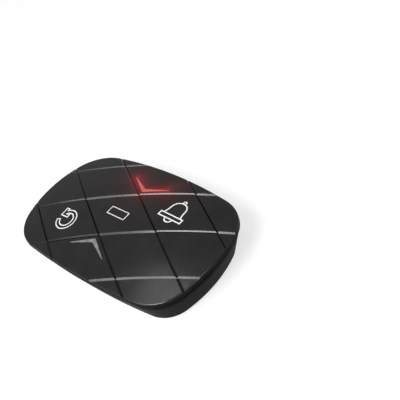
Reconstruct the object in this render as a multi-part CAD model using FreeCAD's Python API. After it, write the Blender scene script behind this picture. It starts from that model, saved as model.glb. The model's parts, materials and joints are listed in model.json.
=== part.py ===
import FreeCAD, Part
import math
import os

# Waiter call button: a palm-sized table-top transmitter with a crowned cover, two diamond keys set
# into its quilted groove pattern, two chevron light guides and a coin cell under a twist-off door.
#
# Millimetres. +X across the short axis, +Y along the long axis towards the CALL key, +Z up.
# The origin is on the table surface, at the centre of the outline.

# --- overall form -------------------------------------------------------------------------------
WIDTH = 54.3              # across the widest outline
LENGTH = 87.4             # along the widest outline
HEIGHT = 18.8             # table surface to the top of the crown
SIDE_R = 250.0            # plan radius of the long sides
END_R = 53.0              # plan radius of the short ends
CORNER_R = 15.5           # plan radius of the corners
CROWN_R_ACROSS = 130.0    # crown radius over the short axis
CROWN_R_ALONG = 290.0     # crown radius over the long axis

# --- cover and its joint with the base ----------------------------------------------------------
COVER_T = 2.0             # thickness of the cover, and height of its edge band
COVER_EDGE_R = 0.6        # rounding of the cover's top edge
SHADOW_GAP = 1.6          # open joint between the cover's band and the base's rim
GASKET_INSET = 0.8        # gasket's outer face in from the base's rim
TONGUE_ENGAGE = 1.2       # how far the cover's tongue reaches below the base's rim
TONGUE_T = 1.2
TONGUE_CLEAR = 0.15

# --- base ---------------------------------------------------------------------------------------
BASE_INSET = 0.8          # base's rim in from the outline, under the cover's edge
BASE_WALL = 1.9
FLOOR_T = 1.8
DRAFT_DEG = 20.0          # lean of the base's walls, inwards towards the table
BASE_EDGE_R = 1.0         # rounding of the bottom edge
BASE_SHOULDER_R = 7.0     # rounding where the upright rim turns into the leaning wall

# --- quilted pattern ----------------------------------------------------------------------------
DIAMOND_HALF_W = 11.0     # half of a diamond's width
GROOVE_DEG = 60.0         # angle of the grooves from the short axis
PATTERN_SHIFT = -1.5      # pattern centre along +Y
GROOVE_ORDERS = (-3, -1, 1, 3)
GROOVE_SWEEP = 0.75       # half of a groove's swept length, as a share of LENGTH
GROOVE_DEPTH = 0.5
GROOVE_HALF_W = 0.55      # half width at the crown

# --- keys ---------------------------------------------------------------------------------------
KEY_GAP = 0.3             # slit between a key and the cover, along the groove's floor
KEY_TRAVEL = 0.3
SKIRT_T = 1.0             # wall that runs down from a key's edge
CHIMNEY_T = 1.0           # cover's wall that guides the skirt
CHIMNEY_MIN_H = 1.0       # its height at the lowest corner of a diamond
HOOK_REACH = 0.6          # overlap of a key's hooks under the chimney
HOOK_T = 0.9
HOOK_L = 6.0
HOOK_CLEAR = 0.1
KEY_POST_R = 2.4
KEY_PAD_R = 2.0
KEY_PAD_T = 0.6
PAD_CLEAR = 0.05

# --- chevron light guides -----------------------------------------------------------------------
CHEVRON_SETBACK = 1.8     # groove crossing to the chevron's outer point
CHEVRON_W = 1.8           # outer point to inner point
CHEVRON_REACH = 7.3       # groove crossing to the tips, across
CHEVRON_HALF_L = 8.8      # point to tip, along
CHEVRON_TIP_W = 0.25
CHEVRON_CLEAR = 0.05
GUIDE_FLANGE = 1.2        # flange under the cover, out from the chevron's back
GUIDE_STEM_R = 1.5
GUIDE_STEM_BACK = 4.3     # groove crossing to the stem's axis
LED_L = 3.5
LED_W = 2.8
LED_H = 1.5
LED_AIR = 0.3             # lamp to the guide's stem
LED_WELL = 0.6            # depth of the window in the lamp's package
LED_RIM_T = 0.2
LED_LENS_SINK = 0.15      # lens below the package's top
BAFFLE_T = 0.8
BAFFLE_H = 2.6

# --- feet and screws ----------------------------------------------------------------------------
FOOT_R = 3.5
FOOT_T = 1.3
FOOT_PROUD = 0.5
FOOT_CLEAR = 0.1
FOOT_EDGE = 6.9           # foot's axis in from the floor's long edge
FOOT_BACK = 3.4           # foot's axis back from the corner's centre
SCREW_R = 1.0             # M2 screws
SCREW_HEAD_R = 1.75
SCREW_HEAD_T = 1.2
SCREW_RECESS_L = 1.9      # arms of the head's cross recess
SCREW_RECESS_W = 0.5
SCREW_RECESS_DEPTH = 0.7
SCREW_CLEAR = 0.2
SCREW_TIP_ROOM = 0.5      # blind bore past a case screw's tip
THREAD_CLEAR = 0.02
CASE_SCREW_L = 9.0
CASE_SCREW_EDGE = 3.3     # case screw's axis in from the floor's outline
CASE_SCREW_SINK = 1.3     # head's outer face in from the underside
END_SCREW_X = 4.5
TUBE_R = 2.5
BOSS_R = 2.0
BOSS_HOLE_CLEAR = 0.3
BOARD_SCREW_ROOM = 1.3    # blind bore past a board screw's tip
POST_R = 2.2
POST_EDGE = 5.2           # board post's axis in from the board's long edge
POST_Y = 12.0

# --- battery bay --------------------------------------------------------------------------------
CELL_R = 10.0             # a 20 mm coin cell, 3.2 mm thick
CELL_T = 3.2
CELL_CAP_R = 8.9
CELL_CAP_T = 0.25
CELL_CLEAR = 0.1
CUP_CLEAR = 0.25          # cell to the door's cup
CUP_T = 0.75
DOOR_SEAL_T = 0.5
DOOR_FLANGE = 1.6         # door's rim, out from its cup
DOOR_CLEAR = 0.2
LEDGE_T = 0.8
LUG_T = 0.8
LUG_REACH = 1.3
LUG_DEG = 20.0
LUG_COUNT = 3
LUG_CLEAR = 0.1
LUG_NOTCH_DEG = 1.5
DOOR_TURN_DEG = 30.0
COIN_SLOT_L = 15.0
COIN_SLOT_W = 1.8
COIN_SLOT_DEPTH = 0.7
MARK_R = 0.6              # dimples that show the door's locked and open places
MARK_DEPTH = 0.4
MARK_BACK = 1.7           # mark's centre from the door's edge
BAY_WALL_T = 1.2
CONTACT_T = 0.2
CONTACT_W = 3.0
CONTACT_BEND = 1.5        # half width of the negative leaf's bend
CONTACT_KNEE_X = 7.0      # where the negative leaf meets the board
CONTACT_END_X = 9.0
CONTACT_DROP = 1.0        # straight root of the positive leaf

# --- circuit board ------------------------------------------------------------------------------
BOARD_DROP = 11.4         # top of the crown to the board's underside
BOARD_T = 1.2
BOARD_CLEAR = 0.3
BOARD_GRID = 6.0          # pitch of the places on the board's free middle strip
SWITCH_SIDE = 6.0
SWITCH_BODY_H = 3.4
SWITCH_FRAME_T = 0.3
SWITCH_H = 5.0            # board to the top of the plunger
PLUNGER_R = 1.75
PLUNGER_COLLAR_R = 2.2
PLUNGER_COLLAR_T = 0.5
PLUNGER_CLEAR = 0.06
SWITCH_PIN_W = 0.7
SWITCH_PIN_T = 0.25
SWITCH_PIN_REACH = 1.2
SWITCH_PIN_PITCH = 4.5
CHIP_SIDE = 5.0
CHIP_H = 0.9
CHIP_MARK_R = 0.35        # dimple that shows the chip's first pin
CHIP_MARK_DEPTH = 0.1
CHIP_MARK_EDGE = 1.0
RADIO_L = 4.9
RADIO_W = 3.9
RADIO_H = 1.5
RADIO_PINS = 4            # on each side
PIN_PITCH = 1.27
PIN_W = 0.4
PIN_REACH = 1.0
PIN_T = 0.2
CRYSTAL_L = 5.0
CRYSTAL_W = 3.2
CRYSTAL_H = 1.1
CHIP_PART_L = 1.6         # small capacitors and resistors
CHIP_PART_W = 0.8
CAPACITOR_H = 0.8
RESISTOR_H = 0.5
ANTENNA_TRACE_W = 0.8
ANTENNA_TRACE_T = 0.1
ANTENNA_LOOP_W = 9.0
ANTENNA_PITCH = 2.0
ANTENNA_LOOPS = 6

# --- heights and centres worked out from the sizes above ----------------------------------------
PATTERN = (0.0, PATTERN_SHIFT)
DIAMOND_HALF_L = DIAMOND_HALF_W * math.tan(math.radians(GROOVE_DEG))
DIAMOND_SIDE = math.hypot(DIAMOND_HALF_W, DIAMOND_HALF_L)
DIAMOND_IN_R = DIAMOND_HALF_W * DIAMOND_HALF_L / DIAMOND_SIDE
CALL_KEY = (-DIAMOND_HALF_W, PATTERN_SHIFT + DIAMOND_HALF_L)
CLEAR_KEY = (DIAMOND_HALF_W, PATTERN_SHIFT - DIAMOND_HALF_L)
LEAN = math.tan(math.radians(DRAFT_DEG))

FLOOR_Z = FOOT_PROUD
FLOOR_TOP = FLOOR_Z + FLOOR_T
DOOR_DISC_TOP = FLOOR_TOP - DOOR_SEAL_T
LEDGE_TOP = FLOOR_TOP + LEDGE_T
LUG_Z = LEDGE_TOP + LUG_CLEAR
CUP_TOP = LUG_Z + LUG_T
CELL_Z = DOOR_DISC_TOP + CELL_CLEAR
CELL_TOP = CELL_Z + CELL_T
BOARD_Z = HEIGHT - BOARD_DROP
BOARD_TOP = BOARD_Z + BOARD_T
BOARD_SCREW_L = BOARD_TOP - FLOOR_TOP - BOARD_SCREW_ROOM
PLUNGER_TOP = BOARD_TOP + SWITCH_H
ABOVE = HEIGHT + 2.0      # a level clear of everything, for cutters
BELOW = -40.0             # a level far below everything, for the wedge under the crown
BEYOND = 8.0              # that wedge's margin past the outline

CUP_IN_R = CELL_R + CUP_CLEAR
CUP_R = CUP_IN_R + CUP_T
DOOR_R = CUP_R + DOOR_FLANGE
DOOR_HOLE_R = DOOR_R + DOOR_CLEAR
LUG_TIP_R = CUP_R + LUG_REACH
BAY_R = DOOR_HOLE_R + BAY_WALL_T

RIM_DROP = COVER_T + SHADOW_GAP


def vec(point, z):
    return FreeCAD.Vector(point[0], point[1], z)


def solid(shape):
    """The shape without needless edges, as one clean solid."""
    shape = shape.removeSplitter()
    return shape.Solids[0] if len(shape.Solids) == 1 else shape


# --- outline and crown --------------------------------------------------------------------------
def polar(centre, radius, bearing):
    """Point at a distance and a bearing in degrees from a centre."""
    return (centre[0] + radius * math.cos(math.radians(bearing)),
            centre[1] + radius * math.sin(math.radians(bearing)))


def bearing(centre, point):
    return math.degrees(math.atan2(point[1] - centre[1], point[0] - centre[0]))


def corner_centre():
    """Centre of the corner arc that is tangent to the side arc and to the end arc."""
    side = (WIDTH / 2 - SIDE_R, 0.0)
    end = (0.0, LENGTH / 2 - END_R)
    to_side = SIDE_R - CORNER_R
    to_end = END_R - CORNER_R
    span = math.dist(side, end)
    spread = math.acos((to_side ** 2 + span ** 2 - to_end ** 2) / (2 * to_side * span))
    return polar(side, to_side, bearing(side, end) + math.degrees(spread))


CORNER = corner_centre()


def outline_arcs():
    """Centre, radius, start and stop bearings of the outline's eight tangent arcs."""
    side = (WIDTH / 2 - SIDE_R, 0.0)
    end = (0.0, LENGTH / 2 - END_R)
    low = bearing(side, CORNER)
    high = bearing(end, CORNER)
    half = [(side, SIDE_R, -low, low),
            (CORNER, CORNER_R, low, high),
            (end, END_R, high, 180 - high),
            ((-CORNER[0], CORNER[1]), CORNER_R, 180 - high, 180 - low)]
    other_half = [((-centre[0], -centre[1]), radius, start + 180, stop + 180)
                  for centre, radius, start, stop in half]
    return half + other_half


def outline(inset, z):
    """Closed wire of the outline, drawn in from the widest one."""
    edges = []
    for centre, radius, start, stop in outline_arcs():
        points = [polar(centre, radius - inset, start + (stop - start) * share)
                  for share in (0, 0.5, 1)]
        edges.append(Part.Arc(*[vec(point, z) for point in points]).toShape())
    return Part.Wire(edges)


def rounded_face(corners):
    """Face in the XZ plane from (x, z, rounding radius) corners, given in order."""
    points = [FreeCAD.Vector(x, 0, z) for x, z, radius in corners]
    starts = []
    stops = []
    arcs = []
    for index, (x, z, radius) in enumerate(corners):
        point = points[index]
        back = (points[index - 1] - point).normalize()
        ahead = (points[(index + 1) % len(points)] - point).normalize()
        half = back.getAngle(ahead) / 2
        reach = radius / math.tan(half)
        starts.append(point + back * reach)
        stops.append(point + ahead * reach)
        if radius:
            inward = (back + ahead).normalize()
            bow = point + inward * (radius / math.sin(half) - radius)
            arcs.append(Part.Arc(starts[-1], bow, stops[-1]).toShape())
        else:
            arcs.append(None)
    edges = []
    for index, arc in enumerate(arcs):
        if arc:
            edges.append(arc)
        edges.append(Part.makeLine(stops[index], starts[(index + 1) % len(starts)]))
    return Part.Face(Part.Wire(edges))


def swept_round(profile):
    """Ring whose section is a face in the XZ plane, with x = 0 on the widest outline."""
    upright = FreeCAD.Vector(0, 0, 1)
    sectors = []
    for centre, radius, start, stop in outline_arcs():
        section = profile.copy()
        section.translate(FreeCAD.Vector(radius, 0, 0))
        section.rotate(FreeCAD.Vector(0, 0, 0), upright, start)
        section.translate(vec(centre, 0))
        sectors.append(section.revolve(vec(centre, 0), upright, stop - start))
    return sectors[0].fuse(sectors[1:])


def slab(inset, low, high):
    """Upright prism of the outline."""
    return Part.Face(outline(inset, low)).extrude(FreeCAD.Vector(0, 0, high - low))


def crown_z(point, drop=0.0):
    """Height of the crown's surface over a point."""
    ring = CROWN_R_ALONG - CROWN_R_ACROSS + math.sqrt(CROWN_R_ACROSS ** 2 - point[0] ** 2)
    return HEIGHT - drop - CROWN_R_ALONG + math.sqrt(ring ** 2 - point[1] ** 2)


def under_crown(drop):
    """Everything under the crown's surface when that is lowered by a drop."""
    half_w = WIDTH / 2 + BEYOND
    edge_z = crown_z((half_w, 0), drop)
    turn = math.degrees(math.asin((LENGTH / 2 + BEYOND) / (CROWN_R_ALONG - HEIGHT + BELOW)))
    left = FreeCAD.Vector(-half_w, 0, edge_z)
    right = FreeCAD.Vector(half_w, 0, edge_z)
    top = FreeCAD.Vector(0, 0, HEIGHT - drop)
    crown = Part.Arc(left, top, right).toShape()
    rest = Part.makePolygon([right, FreeCAD.Vector(half_w, 0, BELOW),
                             FreeCAD.Vector(-half_w, 0, BELOW), left])
    profile = Part.Face(Part.Wire([crown] + rest.Edges))
    hub = FreeCAD.Vector(0, 0, HEIGHT - drop - CROWN_R_ALONG)
    across = FreeCAD.Vector(1, 0, 0)
    profile.rotate(hub, across, -turn)
    return profile.revolve(hub, across, 2 * turn)


# The base's rim is lowest somewhere on a corner.
RIM_LOW_Z = min(crown_z(polar(CORNER, CORNER_R, turn), RIM_DROP) for turn in range(91))
FLOOR_INSET = BASE_INSET + (RIM_LOW_Z - FLOOR_Z) * LEAN
WALL_INSET = BASE_INSET + BASE_WALL
TONGUE_INSET = WALL_INSET + TONGUE_CLEAR + TONGUE_ENGAGE * LEAN
TONGUE_IN_INSET = TONGUE_INSET + TONGUE_T
BOARD_INSET = WALL_INSET + (RIM_LOW_Z - BOARD_Z) * LEAN + BOARD_CLEAR
CHIMNEY_Z = crown_z((CALL_KEY[0], CALL_KEY[1] + DIAMOND_HALF_L), COVER_T) - CHIMNEY_MIN_H
HOOK_TOP = CHIMNEY_Z - HOOK_CLEAR
SKIRT_Z = HOOK_TOP - HOOK_T
FLANGE_Z = CHIMNEY_Z + HOOK_CLEAR
BOSS_Z = BOARD_Z - BOSS_HOLE_CLEAR


# --- small helpers ------------------------------------------------------------------------------
def rod(centre, radius, low, high):
    return Part.makeCylinder(radius, high - low, vec(centre, low))


def tube(centre, radius, bore, low, high):
    return rod(centre, radius, low, high).cut(rod(centre, bore, low, high))


def block(centre, length_x, length_y, low, high):
    corner = vec((centre[0] - length_x / 2, centre[1] - length_y / 2), low)
    return Part.makeBox(length_x, length_y, high - low, corner)


def prism(points, low, high):
    ring = [vec(point, low) for point in points]
    return Part.Face(Part.makePolygon(ring + ring[:1])).extrude(FreeCAD.Vector(0, 0, high - low))


def diamond(centre, grow, low, high):
    """Upright diamond prism, its sides moved outwards by grow."""
    scale = 1 + grow / DIAMOND_IN_R
    half_w = DIAMOND_HALF_W * scale
    half_l = DIAMOND_HALF_L * scale
    return prism([(centre[0] + half_w, centre[1]), (centre[0], centre[1] + half_l),
                  (centre[0] - half_w, centre[1]), (centre[0], centre[1] - half_l)], low, high)


def edges_at(shape, z):
    return [edge for edge in shape.Edges
            if all(abs(vertex.Z - z) < 1e-4 for vertex in edge.Vertexes)]


def side_normals():
    """Outward directions of a diamond's four sides, in degrees."""
    first = 90 - GROOVE_DEG
    return (first, 180 - first, 180 + first, 360 - first)


def screw_solid(point, head_z, length, up):
    """Pan-head screw whose head's bearing face is at head_z, pointing up or down."""
    way = 1 if up else -1
    low = min(head_z, head_z + way * length)
    shank = rod(point, SCREW_R, low, low + length)
    head_low = min(head_z, head_z - way * SCREW_HEAD_T)
    head = rod(point, SCREW_HEAD_R, head_low, head_low + SCREW_HEAD_T)
    outer_z = head_z - way * SCREW_HEAD_T
    head = head.makeFillet(SCREW_HEAD_T / 3, edges_at(head, outer_z))
    for turn in (0, 90):
        arm = block((0, 0), SCREW_RECESS_L, SCREW_RECESS_W, 0, SCREW_RECESS_DEPTH)
        arm.rotate(FreeCAD.Vector(0, 0, 0), FreeCAD.Vector(0, 0, 1), turn)
        arm.translate(vec(point, outer_z if up else outer_z - SCREW_RECESS_DEPTH))
        head = head.cut(arm)
    return solid(head.fuse(shank))


def case_screw_points():
    """Two case screws at each end: one in a corner, one near the middle, clear of the keys."""
    floor_corner_r = CORNER_R - FLOOR_INSET
    reach = (floor_corner_r - CASE_SCREW_EDGE) / math.sqrt(2)
    corner = (CORNER[0] + reach, CORNER[1] + reach)
    end = (-END_SCREW_X, LENGTH / 2 - FLOOR_INSET - CASE_SCREW_EDGE)
    return (corner, end, (-corner[0], -corner[1]), (-end[0], -end[1]))


def post_points():
    x = WIDTH / 2 - BOARD_INSET - POST_EDGE
    return ((x, POST_Y), (-x, POST_Y), (-x, -POST_Y), (x, -POST_Y))


def foot_points():
    x = WIDTH / 2 - FLOOR_INSET - FOOT_EDGE
    y = CORNER[1] - FOOT_BACK
    return ((x, y), (-x, y), (-x, -y), (x, -y))


def guide_point(side):
    """Axis of a light guide's stem. The CALL guide is on the -X side."""
    return (side * (DIAMOND_HALF_W + GUIDE_STEM_BACK), PATTERN_SHIFT)


# --- grooves ------------------------------------------------------------------------------------
def groove_cutter(side, order):
    """V groove, swept round the arc that the crown has along one line."""
    across = FreeCAD.Vector(side * DIAMOND_HALF_L, DIAMOND_HALF_W, 0) / DIAMOND_SIDE
    along = FreeCAD.Vector(DIAMOND_HALF_W, -side * DIAMOND_HALF_L, 0) / DIAMOND_SIDE
    foot = vec(PATTERN, 0) + across * (order * DIAMOND_IN_R)
    points = []
    for step in (-WIDTH / 2, 0, WIDTH / 2):
        spot = foot + along * step
        points.append(FreeCAD.Vector(spot.x, spot.y, crown_z(spot)))
    path = Part.Arc(*points).toShape().Curve
    beside = foot + across
    section = groove_section(crown_z(beside) - crown_z(foot))
    # The section's x runs across the groove and its z is measured up from the crown.
    section.rotate(FreeCAD.Vector(0, 0, 0), FreeCAD.Vector(0, 0, 1), bearing((0, 0), across))
    section.translate(path.Center + FreeCAD.Vector(0, 0, path.Radius))
    turn = math.degrees(GROOVE_SWEEP * LENGTH / path.Radius)
    section.rotate(path.Center, across, -turn)
    return section.revolve(path.Center, across, 2 * turn)


def groove_section(slope):
    """V groove's section, taken up well above the crown. It leans as the crown does."""
    rise = GROOVE_DEPTH / GROOVE_HALF_W
    reach = 2 * GROOVE_HALF_W
    left = [(-reach, COVER_T), (-reach, reach * rise - GROOVE_DEPTH), (0, -GROOVE_DEPTH)]
    right = [(-x, z) for x, z in reversed(left[:-1])]
    points = [FreeCAD.Vector(x, 0, z + slope * x) for x, z in left + right]
    return Part.Face(Part.makePolygon(points + points[:1]))


def quilted_cap():
    """Cover's whole skin, keys and all, before it is cut apart."""
    cap = slab(0, 0, ABOVE).common(under_crown(0)).Solids[0]
    top_edges = [edge for edge in cap.Edges
                 if min(vertex.Z for vertex in edge.Vertexes) > RIM_LOW_Z]
    cap = cap.makeFillet(COVER_EDGE_R, top_edges)
    cap = cap.cut(under_crown(COVER_T))
    for side in (1, -1):
        for order in GROOVE_ORDERS:
            cap = cap.cut(groove_cutter(side, order))
    return cap


# --- light guides -------------------------------------------------------------------------------
def chevron(side, outer, inner, reach, half_l, low, high):
    """Chevron prism whose point looks at the pattern's centre. The CALL one is on the -X side."""
    crossing = (side * DIAMOND_HALF_W, PATTERN_SHIFT)
    tip = CHEVRON_TIP_W / 2
    points = [(outer, 0), (reach - tip, half_l), (reach + tip, half_l),
              (inner, 0), (reach + tip, -half_l), (reach - tip, -half_l)]
    return prism([(crossing[0] + side * x, crossing[1] + y) for x, y in points], low, high)


def chevron_face(side, low, high):
    return chevron(side, CHEVRON_SETBACK, CHEVRON_SETBACK + CHEVRON_W, CHEVRON_REACH,
                   CHEVRON_HALF_L, low, high)


def chevron_slot(side):
    """Slot in the cover, a clearance wider than the chevron all round."""
    bottom = [face for face in chevron_face(side, 0, ABOVE).Faces
              if face.BoundBox.ZMax < CHEVRON_CLEAR][0]
    wider = bottom.OuterWire.makeOffset2D(CHEVRON_CLEAR, join=2)
    return Part.Face(wider).extrude(FreeCAD.Vector(0, 0, ABOVE))


def light_guide(side):
    face = chevron_face(side, FLANGE_Z, ABOVE).common(under_crown(0))
    seat = under_crown(COVER_T + CHEVRON_CLEAR)
    beside_chimney = (KEY_GAP / 2 + CHIMNEY_T + CHEVRON_CLEAR) / math.sin(math.radians(GROOVE_DEG))
    flange = chevron(side, beside_chimney, CHEVRON_SETBACK + CHEVRON_W + GUIDE_FLANGE,
                     CHEVRON_REACH, CHEVRON_HALF_L, FLANGE_Z, ABOVE).common(seat)
    stem_low = BOARD_TOP + LED_H + LED_AIR
    stem = rod(guide_point(side), GUIDE_STEM_R, stem_low, ABOVE).common(seat)
    return solid(face.fuse([flange, stem]))


# --- cover, keys and gasket ---------------------------------------------------------------------
def pressing_room(centre):
    """Space above and round a key's face, down past its travel."""
    pressed = under_crown(COVER_T + KEY_TRAVEL + KEY_GAP)
    return diamond(centre, KEY_GAP / 2, 0, ABOVE).cut(pressed)


def top_cover(cap):
    inside = under_crown(COVER_T / 2)
    tongue = slab(TONGUE_INSET, 0, ABOVE).cut(slab(TONGUE_IN_INSET, 0, ABOVE))
    pieces = [tongue.common(inside).cut(under_crown(RIM_DROP + TONGUE_ENGAGE))]
    for centre in (CALL_KEY, CLEAR_KEY):
        chimney = diamond(centre, KEY_GAP / 2 + CHIMNEY_T, CHIMNEY_Z, ABOVE)
        pieces.append(chimney.common(slab(TONGUE_INSET, 0, ABOVE)).common(inside))
    for point in case_screw_points():
        pieces.append(rod(point, BOSS_R, BOSS_Z, ABOVE).common(inside))
    cover = cap.fuse(pieces)
    for centre in (CALL_KEY, CLEAR_KEY):
        opening = diamond(centre, KEY_GAP / 2, 0, ABOVE)
        cover = cover.cut(pressing_room(centre))
        cover = cover.cut(opening.common(slab(TONGUE_IN_INSET, 0, ABOVE)))
    for side in (-1, 1):
        cover = cover.cut(chevron_slot(side))
    bore_top = case_screw_top() + SCREW_TIP_ROOM
    for point in case_screw_points():
        cover = cover.cut(rod(point, SCREW_R + THREAD_CLEAR, 0, bore_top))
    return solid(cover)


def key(cap, centre):
    """Key cap with its skirt, four hooks and the post that presses the switch."""
    inside = under_crown(COVER_T / 2)
    face = cap.common(diamond(centre, -KEY_GAP / 2, 0, ABOVE))
    skirt_inset = TONGUE_IN_INSET + KEY_GAP
    skirt = diamond(centre, -KEY_GAP / 2, SKIRT_Z, ABOVE).common(slab(skirt_inset, 0, ABOVE))
    hollow = diamond(centre, -KEY_GAP / 2 - SKIRT_T, 0, ABOVE)
    skirt = skirt.cut(hollow.common(slab(skirt_inset + SKIRT_T, 0, ABOVE))).common(inside)
    hooks = []
    depth = SKIRT_T + KEY_GAP + HOOK_REACH
    for angle in side_normals():
        hook = block((DIAMOND_IN_R - KEY_GAP / 2 - SKIRT_T + depth / 2, 0),
                     depth, HOOK_L, SKIRT_Z, HOOK_TOP)
        hook.rotate(FreeCAD.Vector(0, 0, 0), FreeCAD.Vector(0, 0, 1), angle)
        hook.translate(vec(centre, 0))
        hooks.append(hook)
    post = rod(centre, KEY_POST_R, key_pad_z() + KEY_PAD_T, ABOVE).common(inside)
    return solid(face.fuse([skirt, post] + hooks))


def key_pad_z():
    return PLUNGER_TOP + PAD_CLEAR


def key_pad(centre):
    return rod(centre, KEY_PAD_R, key_pad_z(), key_pad_z() + KEY_PAD_T)


def cover_gasket():
    ring = slab(BASE_INSET + GASKET_INSET, 0, ABOVE).cut(slab(TONGUE_INSET - TONGUE_CLEAR / 2, 0, ABOVE))
    ring = ring.common(under_crown(COVER_T)).cut(under_crown(RIM_DROP))
    for centre in (CALL_KEY, CLEAR_KEY):
        ring = ring.cut(pressing_room(centre))
    return solid(ring)


# --- base ---------------------------------------------------------------------------------------
def base_shell():
    """Leaning wall with its upright rim, rounded shoulder and bottom edge, and the floor."""
    core = CORNER_R - 3 * BASE_WALL
    floor_in = WALL_INSET + (RIM_LOW_Z - FLOOR_TOP) * LEAN
    wall = rounded_face([(-core, FLOOR_Z, 0), (-FLOOR_INSET, FLOOR_Z, BASE_EDGE_R),
                         (-BASE_INSET, RIM_LOW_Z, BASE_SHOULDER_R), (-BASE_INSET, ABOVE, 0),
                         (-WALL_INSET, ABOVE, 0), (-WALL_INSET, RIM_LOW_Z, 0),
                         (-floor_in, FLOOR_TOP, BASE_EDGE_R), (-core, FLOOR_TOP, 0)])
    shell = swept_round(wall).fuse(slab(core, FLOOR_Z, FLOOR_TOP))
    return shell.common(under_crown(RIM_DROP))


def base_housing():
    floor_low = FLOOR_TOP - FLOOR_T / 2
    pieces = [rod((0, 0), BAY_R, floor_low, BOARD_Z - LUG_CLEAR)]
    for point in case_screw_points():
        pieces.append(rod(point, TUBE_R, floor_low, BOSS_Z))
    for point in post_points():
        pieces.append(rod(point, POST_R, floor_low, BOARD_Z))
    base = base_shell().fuse(pieces)
    base = base.cut(rod((0, 0), DOOR_HOLE_R, 0, FLOOR_TOP))
    base = base.cut(rod((0, 0), CUP_R + DOOR_CLEAR, 0, LEDGE_TOP))
    base = base.cut(rod((0, 0), DOOR_HOLE_R, LEDGE_TOP, BOARD_Z))
    base = base.cut(lug_ring(LUG_TIP_R + DOOR_CLEAR, FLOOR_TOP, LEDGE_TOP,
                             -DOOR_TURN_DEG, LUG_NOTCH_DEG))
    for point in foot_points():
        base = base.cut(rod(point, FOOT_R + FOOT_CLEAR, 0, FOOT_T))
    for point in case_screw_points():
        base = base.cut(rod(point, SCREW_HEAD_R + SCREW_CLEAR, 0, case_screw_seat()))
        base = base.cut(rod(point, SCREW_R + SCREW_CLEAR, 0, ABOVE))
    for point in post_points():
        base = base.cut(rod(point, SCREW_R + THREAD_CLEAR, FLOOR_TOP, BOARD_Z))
    for turn in (0, -DOOR_TURN_DEG):
        base = base.cut(turn_mark(DOOR_HOLE_R + MARK_BACK, turn))
    return solid(base)


def turn_mark(radius, turn):
    """Round dimple in the underside: one on the door, and one on the base for each end of its turn."""
    return rod(polar((0, 0), radius, 90 + turn), MARK_R, 0, FLOOR_Z + MARK_DEPTH)


def case_screw_seat():
    return FLOOR_Z + CASE_SCREW_SINK + SCREW_HEAD_T


def case_screw_top():
    return case_screw_seat() + CASE_SCREW_L


def lug_ring(radius, low, high, turn, widen):
    """Three sectors of a ring on the door's cup: the lugs, or the notches that let them through."""
    ring = tube((0, 0), radius, CUP_R - CUP_T / 2, low, high)
    half = LUG_DEG / 2 + widen
    sectors = []
    for index in range(LUG_COUNT):
        middle = 90 + turn + index * 360 / LUG_COUNT
        corners = [(0, 0)]
        for angle in (middle - half, middle + half):
            corners.append(polar((0, 0), 2 * radius, angle))
        sectors.append(prism(corners, low, high))
    return ring.common(sectors[0].fuse(sectors[1:]))


def battery_door():
    disc = rod((0, 0), DOOR_R, FLOOR_Z, DOOR_DISC_TOP)
    cup = tube((0, 0), CUP_R, CUP_IN_R, FLOOR_Z, CUP_TOP)
    door = disc.fuse([cup, lug_ring(LUG_TIP_R, LUG_Z, CUP_TOP, 0, 0)])
    slot_half = COIN_SLOT_L / 2 - COIN_SLOT_W / 2
    slot = block((0, 0), 2 * slot_half, COIN_SLOT_W, 0, FLOOR_Z + COIN_SLOT_DEPTH)
    ends = [rod((x, 0), COIN_SLOT_W / 2, 0, FLOOR_Z + COIN_SLOT_DEPTH)
            for x in (-slot_half, slot_half)]
    return solid(door.cut(slot.fuse(ends)).cut(turn_mark(DOOR_R - MARK_BACK, 0)))


def door_seal():
    return tube((0, 0), DOOR_R - LUG_CLEAR, CUP_R, DOOR_DISC_TOP, FLOOR_TOP - LUG_CLEAR / 2)


def rubber_feet():
    return Part.makeCompound([rod(point, FOOT_R, 0, FOOT_T) for point in foot_points()])


def case_screws():
    return Part.makeCompound([screw_solid(point, case_screw_seat(), CASE_SCREW_L, True)
                              for point in case_screw_points()])


# --- board and what is on it --------------------------------------------------------------------
def circuit_board():
    board = slab(BOARD_INSET, BOARD_Z, BOARD_TOP)
    for point in case_screw_points():
        board = board.cut(rod(point, BOSS_R + BOSS_HOLE_CLEAR, 0, ABOVE))
    for point in post_points():
        board = board.cut(rod(point, SCREW_R + SCREW_CLEAR, 0, ABOVE))
    return solid(board)


def board_screws():
    return Part.makeCompound([screw_solid(point, BOARD_TOP, BOARD_SCREW_L, False)
                              for point in post_points()])


def switch_body(centre):
    """Moulded body with a well for the plunger, and four soldered pins."""
    body_top = BOARD_TOP + SWITCH_BODY_H - SWITCH_FRAME_T
    body = block(centre, SWITCH_SIDE, SWITCH_SIDE, BOARD_TOP, body_top)
    well_z = body_top - PLUNGER_COLLAR_T - KEY_TRAVEL - PLUNGER_CLEAR
    body = body.cut(rod(centre, PLUNGER_COLLAR_R + PLUNGER_CLEAR, well_z, body_top))
    pins = []
    for side in (-1, 1):
        for row in (-1, 1):
            y = centre[1] + row * SWITCH_PIN_PITCH / 2
            x = centre[0] + side * (SWITCH_SIDE / 2 + SWITCH_PIN_REACH / 2)
            pins.append(block((x, y), SWITCH_PIN_REACH, SWITCH_PIN_W,
                              BOARD_TOP, BOARD_TOP + SWITCH_PIN_T))
    return solid(body.fuse(pins))


def switch_frame(centre):
    """Stamped plate that keeps the plunger in its well."""
    top = BOARD_TOP + SWITCH_BODY_H
    plate = block(centre, SWITCH_SIDE, SWITCH_SIDE, top - SWITCH_FRAME_T, top)
    return plate.cut(rod(centre, PLUNGER_R + PLUNGER_CLEAR, 0, ABOVE))


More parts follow.
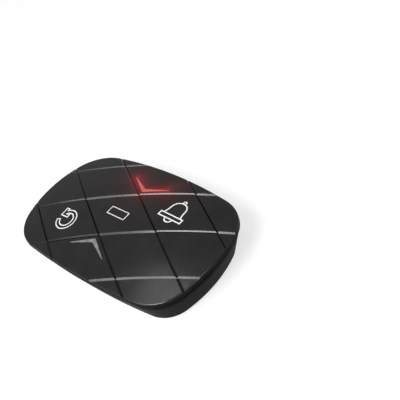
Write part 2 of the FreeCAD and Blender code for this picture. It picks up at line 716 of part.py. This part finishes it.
def switch_plunger(centre):
    collar_top = BOARD_TOP + SWITCH_BODY_H - SWITCH_FRAME_T - PLUNGER_CLEAR / 2
    collar = rod(centre, PLUNGER_COLLAR_R, collar_top - PLUNGER_COLLAR_T, collar_top)
    return solid(collar.fuse(rod(centre, PLUNGER_R, collar_top - PLUNGER_COLLAR_T, PLUNGER_TOP)))


def led(side):
    """Moulded package with a round lens window."""
    centre = guide_point(side)
    package = block(centre, LED_W, LED_L, BOARD_TOP, BOARD_TOP + LED_H)
    well_z = BOARD_TOP + LED_H - LED_WELL
    rim = package.cut(rod(centre, LED_W / 2 - LED_RIM_T, well_z, ABOVE))
    lens_top = BOARD_TOP + LED_H - LED_LENS_SINK
    lens = rod(centre, LED_W / 2 - LED_RIM_T, well_z - LED_LENS_SINK, lens_top)
    return solid(rim.fuse(lens))


def light_baffles():
    """Rubber sleeves that keep each lamp's light in its own guide."""
    bore = math.hypot(LED_L, LED_W) / 2 + BOARD_CLEAR
    return Part.makeCompound([tube(guide_point(side), bore + BAFFLE_T, bore,
                                   BOARD_TOP, BOARD_TOP + BAFFLE_H) for side in (-1, 1)])


def chip_point(column, row):
    return (column * BOARD_GRID, PATTERN_SHIFT + row * BOARD_GRID)


def controller_chip():
    centre = chip_point(0, -1)
    body = block(centre, CHIP_SIDE, CHIP_SIDE, BOARD_TOP, BOARD_TOP + CHIP_H)
    mark_off = CHIP_SIDE / 2 - CHIP_MARK_EDGE
    mark = (centre[0] - mark_off, centre[1] + mark_off)
    return body.cut(rod(mark, CHIP_MARK_R, BOARD_TOP + CHIP_H - CHIP_MARK_DEPTH, ABOVE))


def radio_chip():
    centre = chip_point(0, 1)
    body = block(centre, RADIO_W, RADIO_L, BOARD_TOP + PIN_T / 2, BOARD_TOP + RADIO_H)
    pins = []
    for index in range(RADIO_PINS):
        y = centre[1] + (index - (RADIO_PINS - 1) / 2) * PIN_PITCH
        pins.append(block((centre[0], y), RADIO_W + 2 * PIN_REACH, PIN_W,
                          BOARD_TOP, BOARD_TOP + PIN_T))
    return solid(body.fuse(pins))


def crystal():
    can = block(chip_point(1, 2), CRYSTAL_L, CRYSTAL_W, BOARD_TOP, BOARD_TOP + CRYSTAL_H)
    upright = [edge for edge in can.Edges
               if abs(edge.Vertexes[0].Z - edge.Vertexes[1].Z) > CRYSTAL_H / 2]
    return can.makeFillet(CRYSTAL_W / 4, upright)


def chip_parts(points, height):
    return Part.makeCompound([block(point, CHIP_PART_L, CHIP_PART_W, BOARD_TOP, BOARD_TOP + height)
                              for point in points])


def board_capacitors():
    return chip_parts([chip_point(column, row) for column in (-0.5, 0.5) for row in (-2, -3, 3)],
                      CAPACITOR_H)


def board_resistors():
    return chip_parts([chip_point(side * 1.25, row) for side in (-1, 1) for row in (-0.5, 0.5)],
                      RESISTOR_H)


def antenna_trace():
    """Copper meander at the CALL end of the board."""
    left = -ANTENNA_LOOP_W / 4
    right = left + ANTENNA_LOOP_W
    start_y = CALL_KEY[1]
    rungs = []
    for index in range(ANTENNA_LOOPS):
        y = start_y + index * ANTENNA_PITCH
        rungs.append(block(((left + right) / 2, y), ANTENNA_LOOP_W, ANTENNA_TRACE_W,
                           BOARD_TOP, BOARD_TOP + ANTENNA_TRACE_T))
        if index:
            x = right if index % 2 else left
            x += (-ANTENNA_TRACE_W if index % 2 else ANTENNA_TRACE_W) / 2
            rungs.append(block((x, y - ANTENNA_PITCH / 2), ANTENNA_TRACE_W,
                               ANTENNA_PITCH, BOARD_TOP, BOARD_TOP + ANTENNA_TRACE_T))
    return solid(rungs[0].fuse(rungs[1:]))


# --- battery ------------------------------------------------------------------------------------
def coin_cell():
    can = rod((0, 0), CELL_R, CELL_Z, CELL_TOP - CELL_CAP_T)
    can = can.makeFillet(CELL_CAP_T * 2, edges_at(can, CELL_Z))
    return solid(can.fuse(rod((0, 0), CELL_CAP_R, CELL_Z + CELL_CAP_T, CELL_TOP)))


def ribbon(points, width):
    """Bent strip of contact metal from points (x, z) on its lower face, centred on y = 0."""
    upper = []
    for index, point in enumerate(points):
        before = points[max(index - 1, 0)]
        after = points[min(index + 1, len(points) - 1)]
        run = (after[0] - before[0], after[1] - before[1])
        length = math.hypot(*run)
        upper.append((point[0] - run[1] / length * CONTACT_T,
                      point[1] + run[0] / length * CONTACT_T))
    ring = [FreeCAD.Vector(x, -width / 2, z) for x, z in list(points) + upper[::-1]]
    face = Part.Face(Part.makePolygon(ring + ring[:1]))
    return face.extrude(FreeCAD.Vector(0, width, 0))


def battery_contact_negative():
    """Leaf from the board's underside to the middle of the cell's cap."""
    bend_z = CELL_TOP + CONTACT_T
    foot_z = BOARD_Z - CONTACT_T
    return ribbon([(-CONTACT_BEND, bend_z), (0, CELL_TOP), (CONTACT_BEND, bend_z),
                   (CONTACT_KNEE_X, foot_z), (CONTACT_END_X, foot_z)], CONTACT_W)


def battery_contact_positive():
    """Leaf from the board's underside to the side of the cell, above the door's cup."""
    touch_z = (CUP_TOP + CELL_TOP - CELL_CAP_T) / 2
    leg_x = DOOR_HOLE_R - CUP_CLEAR
    clear_z = CUP_TOP + CELL_CLEAR
    root_x = leg_x - 2 * CONTACT_T
    return ribbon([(root_x, BOARD_Z), (root_x, BOARD_Z - CONTACT_DROP),
                   (CELL_R, touch_z), (CELL_R + CUP_CLEAR, clear_z)], CONTACT_W)


# --- all pieces ---------------------------------------------------------------------------------
def build():
    cap = quilted_cap()
    return {
        "top_cover": top_cover(cap),
        "call_key": key(cap, CALL_KEY),
        "clear_key": key(cap, CLEAR_KEY),
        "call_key_pad": key_pad(CALL_KEY),
        "clear_key_pad": key_pad(CLEAR_KEY),
        "call_light_guide": light_guide(-1),
        "clear_light_guide": light_guide(1),
        "cover_gasket": cover_gasket(),
        "base_housing": base_housing(),
        "battery_door": battery_door(),
        "door_seal": door_seal(),
        "rubber_feet": rubber_feet(),
        "case_screws": case_screws(),
        "circuit_board": circuit_board(),
        "board_screws": board_screws(),
        "call_switch_body": switch_body(CALL_KEY),
        "call_switch_frame": switch_frame(CALL_KEY),
        "call_switch_plunger": switch_plunger(CALL_KEY),
        "clear_switch_body": switch_body(CLEAR_KEY),
        "clear_switch_frame": switch_frame(CLEAR_KEY),
        "clear_switch_plunger": switch_plunger(CLEAR_KEY),
        "call_led": led(-1),
        "clear_led": led(1),
        "light_baffles": light_baffles(),
        "controller_chip": controller_chip(),
        "radio_chip": radio_chip(),
        "crystal": crystal(),
        "board_capacitors": board_capacitors(),
        "board_resistors": board_resistors(),
        "antenna_trace": antenna_trace(),
        "coin_cell": coin_cell(),
        "battery_contact_negative": battery_contact_negative(),
        "battery_contact_positive": battery_contact_positive(),
    }


os.makedirs("parts", exist_ok=True)
for name, shape in build().items():
    shape.exportStep("parts/" + name + ".step")
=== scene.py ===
"""Waiter call button: materials, printed marks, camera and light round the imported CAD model.

The scene is in metres, in the CAD's frame: +X across the short axis, +Y along the long axis towards
the CALL key, +Z up, origin on the table at the centre of the outline. The sizes named below are in
millimetres, unless a comment gives another unit.
"""
import json
import math

import bpy
from mathutils import Matrix, Vector


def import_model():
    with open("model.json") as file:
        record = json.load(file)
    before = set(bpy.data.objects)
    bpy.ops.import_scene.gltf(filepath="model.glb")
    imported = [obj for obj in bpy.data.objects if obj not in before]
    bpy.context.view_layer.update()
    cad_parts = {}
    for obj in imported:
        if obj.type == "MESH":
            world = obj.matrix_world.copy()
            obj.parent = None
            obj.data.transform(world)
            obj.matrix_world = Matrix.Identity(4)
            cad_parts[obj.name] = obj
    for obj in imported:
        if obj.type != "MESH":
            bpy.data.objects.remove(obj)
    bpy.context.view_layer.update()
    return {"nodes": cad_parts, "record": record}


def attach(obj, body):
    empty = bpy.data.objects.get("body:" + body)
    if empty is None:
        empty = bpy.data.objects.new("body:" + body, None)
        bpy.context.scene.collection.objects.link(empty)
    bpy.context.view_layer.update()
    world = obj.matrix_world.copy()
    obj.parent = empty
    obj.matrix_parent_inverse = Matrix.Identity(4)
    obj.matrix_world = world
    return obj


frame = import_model()

MM = 0.001

# --- sizes shared with the CAD source ----------------------------------------------------------
HEIGHT = 18.8
CROWN_R_ACROSS = 130.0
CROWN_R_ALONG = 290.0
CALL_KEY = (-11.0, 17.55)         # middles of the keys
CLEAR_KEY = (11.0, -20.55)
CHEVRON_VERTEX = (-13.7, -1.5)
CHEVRON_ARM = (4.6, 8.3)          # from the vertex to the middle of a tip
FIELD = (-0.1, -2.0)              # middle of the frame, in the diamond between the keys

# --- printed marks -----------------------------------------------------------------------------
INK_PROUD = 0.012
INK_SUNK = 0.05
STROKE = 0.52
FRAME_STROKE = 0.32
FRAME_HALF = (4.4, 1.7)
STEP = 0.5                        # longest straight run, so that the marks follow the crown
MITRE_LEAST = 0.4                 # keeps a sharp corner's point short

# --- surfaces ----------------------------------------------------------------------------------
GLOSS_SWING = 0.05                # how far roughness strays from its middle value
METAL_SWING = 0.08
SPECK = 3                         # size of the gloss's specks, in grains
CLOUD_DEPTH = 2                   # height of the slow waves under the grain, in grain depths
CLOUD_STRENGTH = 0.3
DRAWN_PITCH = 0.12                # the lines left in drawn metal
DRAWN_DEPTH = 0.004
TRACK_PITCH = 3.2
UPRIGHT_Z = 0.1                   # a face whose normal rises less than this is an upright edge
TOP_Z = 0.6                       # and one whose normal rises more than this is satin all over
EDGE_ROUGH = 0.6                  # added to the satin's roughness on an upright edge
# painted shade on upright edges: a tint that weakens their reflection
PAINTED_EDGE_SHADE_TINT = (0.15, 0.15, 0.15, 1)
WHITE = (1, 1, 1, 1)
BLACK = (0, 0, 0, 1)
# painted glow: red emission on the cover and keys beside the lit chevron
PAINTED_GLOW_RED = (1.0, 0.02, 0.02, 1)
PAINTED_GLOW_SWING = 0.15
PAINTED_GLOW_LEVELS = ((0.19, 1.6), (0.042, 5.2))    # painted red glow beside the lit chevron: strength, and reach
GUIDE_LIGHT = ((0.33, 0.052, 0.050, 1), (0.46, 0.100, 0.098, 1))

# --- camera ------------------------------------------------------------------------------------
CAMERA_AT = (88.96, 172.51, 186.23)
CAMERA_RIGHT = (-0.61844, 0.74044, -0.26323)
CAMERA_DOWN = (0.65597, 0.30197, -0.69175)
CAMERA_AHEAD = (-0.43271, -0.60047, -0.67246)
LENS = 62.851
SENSOR = 36.0
CLIP = (0.01, 20.0)               # metres

# --- light -------------------------------------------------------------------------------------
WORLD_LEVEL = 0.3
LAMP_AWAY = 0.66                  # metres from the object to each soft box
GLINT_RUN = (0.40, -0.79, -0.46)  # the way a groove's reflection moves from one end to the other
ACROSS = (1, 0, 0)
LAMPS = (                         # name, direction, run of the first side, sides in metres, watts
    ("key_light", (0.70, 0.00, 0.71), GLINT_RUN, (0.46, 0.26), 0.6),
    ("accent_light", (0.66, 0.22, 0.80), GLINT_RUN, (0.22, 0.36), 2.6),
    ("near_accent", (0.85, 0.08, 0.52), GLINT_RUN, (0.30, 0.10), 0.65),
    ("far_accent", (0.56, -0.19, 0.81), GLINT_RUN, (0.30, 0.10), 0.7),
    ("rim_light", (-0.05, 0.75, 0.67), ACROSS, (0.30, 0.10), 0.8),
    ("top_light", (-0.04, -0.27, 0.96), ACROSS, (0.20, 0.20), 0.27),
)
FLOOR_SIDE = 4.0                  # metres
FLOOR_Z = -0.02                   # under the feet, so that no faces coincide
FLOOR_GREY = 0.45
FLOOR_LIFT = 0.62                 # what the floor adds of its own, where it is seen


def srgb(red, green, blue):
    """Linear colour from 0-255 display values."""
    parts = []
    for value in (red, green, blue):
        share = value / 255
        parts.append(share / 12.92 if share <= 0.04045 else ((share + 0.055) / 1.055) ** 2.4)
    return (*parts, 1.0)


def grey(value):
    return srgb(value, value, value)


# --- node helpers ------------------------------------------------------------------------------
class Shader:
    """A material's node tree round one Principled shader, with object coordinates."""

    def __init__(self, name, **values):
        self.name = name
        self.material = bpy.data.materials.new(name)
        self.material.use_nodes = True
        self.tree = self.material.node_tree
        self.surface = self.tree.nodes["Principled BSDF"]
        for socket, value in values.items():
            self.surface.inputs[socket.replace("_", " ")].default_value = value
        where = self.add("ShaderNodeTexCoord")
        self.place = where.outputs["Object"]
        self.normal = where.outputs["Normal"]

    def put(self, socket, value):
        if isinstance(value, bpy.types.NodeSocket):
            self.tree.links.new(value, socket)
        else:
            socket.default_value = value

    def add(self, kind, *inputs, **settings):
        node = self.tree.nodes.new(kind)
        for name, value in settings.items():
            setattr(node, name, value)
        for index, value in enumerate(inputs):
            if value is not None:
                self.put(node.inputs[index], value)
        return node

    def math(self, operation, first, second=0.0, third=0.0):
        return self.add("ShaderNodeMath", first, second, third, operation=operation).outputs[0]

    def vector(self, operation, first, second=None):
        node = self.add("ShaderNodeVectorMath", first, second, operation=operation)
        return node.outputs["Value" if operation in ("DOT_PRODUCT", "LENGTH") else "Vector"]

    def noise(self, size_mm, detail=2.0, stretch=(1, 1, 1)):
        place = self.place
        if stretch != (1, 1, 1):
            place = self.vector("MULTIPLY", place, stretch)
        node = self.add("ShaderNodeTexNoise")
        self.put(node.inputs["Vector"], place)
        node.inputs["Scale"].default_value = 1 / (size_mm * MM)
        node.inputs["Detail"].default_value = detail
        return node.outputs[0]

    def spread(self, value, low, high, start=0.3, stop=0.7):
        """Maps start to stop onto low to high. Most of a noise lies between 0.3 and 0.7."""
        node = self.add("ShaderNodeMapRange", value, start, stop, low, high)
        return node.outputs[0]

    def blend(self, share, first, second):
        node = self.add("ShaderNodeMix", data_type="RGBA")
        self.put(node.inputs["Factor"], share)
        self.put(node.inputs[6], first)
        self.put(node.inputs[7], second)
        return node.outputs[2]

    def bump(self, height, distance_mm, strength=1.0, under=None):
        node = self.add("ShaderNodeBump")
        node.inputs["Strength"].default_value = strength
        node.inputs["Distance"].default_value = distance_mm * MM
        self.put(node.inputs["Height"], height)
        if under is not None:
            self.put(node.inputs["Normal"], under)
        return node.outputs[0]

    def wire(self, name, value):
        self.put(self.surface.inputs[name], value)


def textured(name, dark, light, rough, grain, depth, cloud=9.0, **values):
    """Moulded or cast surface: clouded colour, uneven gloss and a fine grain of a given depth."""
    shader = Shader(name, **values)
    clouds = shader.noise(cloud, 4.0)
    shader.colour = shader.blend(shader.spread(clouds, 0, 1), dark, light)
    shader.wire("Base Color", shader.colour)
    speck = shader.noise(grain * SPECK, 3.0)
    shader.rough = shader.spread(speck, rough - GLOSS_SWING, rough + GLOSS_SWING)
    shader.wire("Roughness", shader.rough)
    fine = shader.bump(shader.noise(grain, 2.0), depth)
    shader.wire("Normal", shader.bump(clouds, depth * CLOUD_DEPTH, CLOUD_STRENGTH, under=fine))
    return shader


# --- materials ---------------------------------------------------------------------------------
def segment_distance(shader, start, end):
    """Distance in metres from a segment, measured in plan."""
    plan = shader.vector("MULTIPLY", shader.place, (1, 1, 0))
    run = Vector((end[0] - start[0], end[1] - start[1], 0)) * MM
    away = shader.vector("SUBTRACT", plan, tuple(Vector((*start, 0)) * MM))
    along = shader.math("DIVIDE", shader.vector("DOT_PRODUCT", away, tuple(run)),
                        run.length_squared)
    share = shader.add("ShaderNodeClamp", along).outputs[0]
    foot = shader.add("ShaderNodeVectorMath", tuple(run), operation="SCALE")
    shader.put(foot.inputs["Scale"], share)
    return shader.vector("LENGTH", shader.vector("SUBTRACT", away, foot.outputs[0]))


def painted_glow(shader):
    """Painted red glow on the cover beside the lit chevron, fading with distance from it."""
    distances = []
    for side in (-1, 1):
        tip = (CHEVRON_VERTEX[0] - CHEVRON_ARM[0], CHEVRON_VERTEX[1] + side * CHEVRON_ARM[1])
        distances.append(segment_distance(shader, CHEVRON_VERTEX, tip))
    nearest = shader.math("MINIMUM", *distances)
    levels = []
    for strength, reach in PAINTED_GLOW_LEVELS:
        faded = shader.math("EXPONENT", shader.math("MULTIPLY", nearest, -1 / (reach * MM)))
        levels.append(shader.math("MULTIPLY", faded, strength))
    uneven = shader.spread(shader.noise(4.0), 1 - PAINTED_GLOW_SWING, 1 + PAINTED_GLOW_SWING)
    level = shader.math("MULTIPLY", shader.math("ADD", *levels), uneven)
    # painted glow: red emission colour, strongest next to the chevron's arms
    shader.wire("Emission Color", shader.blend(level, BLACK, PAINTED_GLOW_RED))
    shader.surface.inputs["Emission Strength"].default_value = 1.0


def satin_black(name):
    """Cover and keys: satin on top, matt upright edges with painted shade, and a painted chevron
    glow.
    """
    shader = textured(name, grey(23), grey(31), rough=0.21, grain=0.22, depth=0.006)
    rise = shader.add("ShaderNodeSeparateXYZ", shader.normal).outputs[2]
    edge_matt_and_shade = shader.spread(rise, 1.0, 0.0, UPRIGHT_Z, TOP_Z)
    shader.wire("Roughness", shader.math("MULTIPLY_ADD", edge_matt_and_shade, EDGE_ROUGH, shader.rough))
    # painted shade: upright edges get a darker colour (grey 12) and a weaker reflection tint; the
    # added roughness is real
    shader.wire("Base Color", shader.blend(edge_matt_and_shade, shader.colour, grey(12)))
    shader.wire("Specular Tint", shader.blend(edge_matt_and_shade, WHITE, PAINTED_EDGE_SHADE_TINT))
    painted_glow(shader)
    return shader


def brushed(name, dark, light, rough, stretch):
    """Metal with fine lines, drawn out along the axis that stretch makes small."""
    shader = Shader(name, Metallic=1.0)
    lines = shader.noise(DRAWN_PITCH, 3.0, stretch)
    shader.wire("Base Color", shader.blend(lines, dark, light))
    shader.wire("Roughness", shader.spread(shader.noise(1.5, 3.0), rough - METAL_SWING,
                                           rough + METAL_SWING))
    shader.wire("Normal", shader.bump(lines, DRAWN_DEPTH))
    return shader


def chevron_red():
    """Lit light guide: red all through, and a little uneven, as a lamp below leaves it."""
    shader = textured("guide_red", srgb(120, 52, 50), srgb(138, 62, 60), rough=0.3, grain=0.3,
                      depth=0.004, cloud=3.0)
    uneven = shader.spread(shader.noise(1.6, 3.0), 0.0, 1.0)
    shader.wire("Emission Color", shader.blend(uneven, *GUIDE_LIGHT))
    shader.surface.inputs["Emission Strength"].default_value = 1.0
    return shader


def circuit_green():
    """Solder mask over copper tracks, laid out like the joints of a brick wall."""
    dark = srgb(12, 74, 42)
    light = srgb(15, 84, 48)
    shader = textured("board_green", dark, light, rough=0.35, grain=0.3, depth=0.004)
    tracks = shader.add("ShaderNodeTexBrick")
    shader.put(tracks.inputs["Vector"], shader.place)
    tracks.inputs["Scale"].default_value = 1 / (TRACK_PITCH * MM)
    tracks.inputs["Mortar Size"].default_value = 0.05
    tracks.inputs["Color1"].default_value = dark
    tracks.inputs["Color2"].default_value = light
    tracks.inputs["Mortar"].default_value = srgb(40, 128, 74)
    shader.wire("Base Color", tracks.outputs[0])
    return shader


def all_materials():
    """Every material, under the name of its slot in the record."""
    shaders = (
        satin_black("cover_black"),
        satin_black("key_black"),
        textured("base_black", grey(24), grey(31), rough=0.5, grain=0.35, depth=0.006, cloud=12.0,
                 Specular_IOR_Level=0.015),
        textured("plunger_black", grey(30), grey(40), rough=0.45, grain=0.3, depth=0.004),
        textured("switch_plastic", grey(38), grey(50), rough=0.5, grain=0.25, depth=0.006),
        textured("led_plastic", srgb(226, 224, 214), srgb(240, 239, 230), rough=0.4, grain=0.3,
                 depth=0.004),
        chevron_red(),
        textured("guide_grey", grey(104), grey(136), rough=0.28, grain=0.4, depth=0.004, cloud=2.5),
        textured("rubber_black", grey(12), grey(18), rough=0.8, grain=0.18, depth=0.014,
                 Specular_IOR_Level=0.01),
        textured("silicone_grey", grey(120), grey(140), rough=0.6, grain=0.3, depth=0.006),
        brushed("screw_steel", grey(150), grey(190), rough=0.32, stretch=(1, 1, 0.1)),
        brushed("contact_steel", grey(170), grey(205), rough=0.28, stretch=(0.1, 1, 1)),
        brushed("can_steel", grey(176), grey(208), rough=0.3, stretch=(1, 0.1, 1)),
        circuit_green(),
        textured("chip_black", grey(26), grey(36), rough=0.55, grain=0.15, depth=0.006, cloud=2.0),
        textured("ceramic_tan", srgb(168, 140, 104), srgb(190, 164, 128), rough=0.5, grain=0.2,
                 depth=0.004, cloud=1.0),
        brushed("copper", srgb(196, 128, 88), srgb(222, 160, 118), rough=0.34, stretch=(1, 1, 1)),
        textured("print_white", grey(228), grey(240), rough=0.5, grain=0.12, depth=0.003, cloud=2.0),
    )
    return {shader.name: shader.material for shader in shaders}


def dress(materials):
    """Gives each CAD node the material that its record slot names."""
    slots = {part["node"]: part["material_slot"] for part in frame["record"]["subparts"]}
    for name, node in frame["nodes"].items():
        node.data.materials.clear()
        node.data.materials.append(materials[slots[name]])


# --- printed marks -----------------------------------------------------------------------------
def crown_z(x, y):
    ring = CROWN_R_ALONG - CROWN_R_ACROSS + math.sqrt(CROWN_R_ACROSS ** 2 - x ** 2)
    return HEIGHT - CROWN_R_ALONG + math.sqrt(ring ** 2 - y ** 2)


def arc(centre, radius, start, stop, parts=36):
    """Points on an arc between two bearings in degrees."""
    points = []
    for index in range(parts + 1):
        turn = math.radians(start + (stop - start) * index / parts)
        points.append((centre[0] + radius * math.cos(turn), centre[1] + radius * math.sin(turn)))
    return points


def divided(points, closed):
    """The same line with no run longer than STEP."""
    ring = points + points[:1] if closed else points
    result = []
    for start, end in zip(ring, ring[1:]):
        count = max(1, math.ceil(math.dist(start, end) / STEP))
        for index in range(count):
            share = index / count
            result.append((start[0] + (end[0] - start[0]) * share,
                           start[1] + (end[1] - start[1]) * share))
    if not closed:
        result.append(ring[-1])
    return result


def edges_of(points, closed, width):
    """The two sides of a line of a given width, with mitred corners."""
    count = len(points)
    left = []
    right = []
    for index, point in enumerate(points):
        before = points[index - 1] if closed or index else None
        after = points[(index + 1) % count] if closed or index < count - 1 else None
        ways = [(Vector(end) - Vector(start)).normalized()
                for start, end in ((before, point), (point, after)) if start and end]
        way = sum(ways, Vector((0, 0))).normalized()
        normal = Vector((-way.y, way.x))
        mitre = max(normal.dot(Vector((-ways[0].y, ways[0].x))), MITRE_LEAST)
        offset = normal * (width / 2 / mitre)
        left.append(Vector(point) + offset)
        right.append(Vector(point) - offset)
    return left, right


def stroke(vertices, faces, points, closed, width, place):
    """Adds one printed line as a thin closed solid that lies on the crown."""
    left, right = edges_of(divided(points, closed), closed, width)
    first = len(vertices)
    for pair in zip(left, right):
        for lift in (INK_PROUD, -INK_SUNK):
            for point in pair:
                x, y = place(point)
                vertices.append((x * MM, y * MM, (crown_z(x, y) + lift) * MM))
    count = len(left)
    for index in range(count if closed else count - 1):
        here = first + 4 * index
        there = first + 4 * ((index + 1) % count)
        for one, two in ((0, 1), (1, 3), (3, 2), (2, 0)):
            faces.append((here + one, here + two, there + two, there + one))
    if not closed:
        last = first + 4 * (count - 1)
        faces.append((first, first + 2, first + 3, first + 1))
        faces.append((last, last + 1, last + 3, last + 2))


def mark(name, lines, centre, body, material):
    """Prints lines at a centre. Their right is +Y and their up is -X, as the device lies."""
    vertices = []
    faces = []
    for points, closed, width in lines:
        stroke(vertices, faces, points, closed, width,
               lambda point: (centre[0] - point[1], centre[1] + point[0]))
    mesh = bpy.data.meshes.new(name)
    mesh.from_pydata(vertices, [], faces)
    mesh.update()
    mesh.materials.append(material)
    piece = bpy.data.objects.new(name, mesh)
    bpy.context.scene.collection.objects.link(piece)
    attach(piece, body)


def bell_lines():
    """Hand bell: dome with a flared lip, rim bar, clapper and a ring on top."""
    lip = -2.2
    foot = -4.0
    half = 5.05
    shoulder = 1.55
    flatness = 0.92
    side = [(-3.95, lip), (-3.55, -1.2), (-3.3, 0.2), (-3.15, 1.6)]
    dome = [(x, shoulder + (y - shoulder) * flatness)
            for x, y in arc((0, shoulder), 3.1, 168, 12, 28)]
    other_side = [(-x, y) for x, y in reversed(side)]
    return [(side + dome + other_side, False, STROKE),
            ([(-half, lip), (half, lip), (half, foot), (-half, foot)], True, STROKE),
            (arc((0, -4.1), 1.6, 180, 360, 18), False, STROKE),
            (arc((0, 5.05), 0.62, 0, 345, 23), True, STROKE * 0.9)]


def return_lines():
    """Outline of a hooked arrow that turns back to the upper left."""
    outer = arc((0, 0), 4.4, 197, 487, 48)
    inner = arc((0, 0), 2.95, 495, 196, 44)
    head = [(-2.55, 4.4), (-4.0, 4.4), (-4.0, 0.9), (-0.45, 0.9), (-0.45, 2.3)]
    return [(outer + head + inner, True, STROKE * 0.85)]


def field_lines():
    """Empty frame, a place for a table's number."""
    along, up = FRAME_HALF
    return [([(-along, -up), (along, -up), (along, up), (-along, up)], True, FRAME_STROKE)]


# --- surroundings ------------------------------------------------------------------------------
def seen_rays(tree):
    """1 for the rays that show the surroundings: from the camera, in gloss and through glass."""
    path = tree.nodes.new("ShaderNodeLightPath")
    total = path.outputs["Is Camera Ray"]
    for name in ("Is Glossy Ray", "Is Transmission Ray"):
        node = tree.nodes.new("ShaderNodeMath")
        node.operation = "MAXIMUM"
        tree.links.new(total, node.inputs[0])
        tree.links.new(path.outputs[name], node.inputs[1])
        total = node.outputs[0]
    return total


def floor():
    half = FLOOR_SIDE / 2
    corners = [(-half, -half), (half, -half), (half, half), (-half, half)]
    mesh = bpy.data.meshes.new("floor")
    mesh.from_pydata([(x, y, FLOOR_Z * MM) for x, y in corners], [], [(0, 1, 2, 3)])
    table = bpy.data.objects.new("floor", mesh)
    bpy.context.scene.collection.objects.link(table)
    shader = Shader("floor_white", Base_Color=(FLOOR_GREY, FLOOR_GREY, FLOOR_GREY, 1),
                    Roughness=0.9, Specular_IOR_Level=0.0)
    level = shader.math("MULTIPLY", seen_rays(shader.tree), FLOOR_LIFT)
    shader.surface.inputs["Emission Color"].default_value = WHITE
    shader.wire("Emission Strength", level)
    mesh.materials.append(shader.material)


def lamp(name, way, along, size, power):
    """Soft box in one direction from the object, with its first side along another."""
    data = bpy.data.lights.new(name, "AREA")
    data.shape = "RECTANGLE"
    data.size, data.size_y = size
    data.energy = power
    light = bpy.data.objects.new(name, data)
    back = Vector(way).normalized()
    upward = back.cross(Vector(along)).normalized()
    turn = Matrix((upward.cross(back), upward, back)).transposed()
    light.matrix_world = Matrix.LocRotScale(back * LAMP_AWAY, turn.to_quaternion(), None)
    bpy.context.scene.collection.objects.link(light)


def world():
    scene = bpy.context.scene
    scene.world = bpy.data.worlds.new("studio")
    scene.world.use_nodes = True
    background = scene.world.node_tree.nodes["Background"]
    background.inputs["Color"].default_value = WHITE
    background.inputs["Strength"].default_value = WORLD_LEVEL


def camera():
    data = bpy.data.cameras.new("camera")
    data.sensor_width = SENSOR
    data.lens = LENS
    data.clip_start, data.clip_end = CLIP
    eye = bpy.data.objects.new("camera", data)
    right = Vector(CAMERA_RIGHT)
    up = -Vector(CAMERA_DOWN)
    back = -Vector(CAMERA_AHEAD)
    turn = Matrix((right, up, back)).transposed()
    eye.matrix_world = Matrix.LocRotScale(Vector(CAMERA_AT) * MM, turn.to_quaternion(), None)
    bpy.context.scene.collection.objects.link(eye)
    bpy.context.scene.camera = eye


materials = all_materials()
dress(materials)
ink = materials["print_white"]
mark("call_mark", bell_lines(), CALL_KEY, "call_key", ink)
mark("clear_mark", return_lines(), CLEAR_KEY, "clear_key", ink)
mark("number_field", field_lines(), FIELD, "housing", ink)
floor()
world()
for values in LAMPS:
    lamp(*values)
camera()
bpy.context.scene.view_settings.view_transform = "Standard"
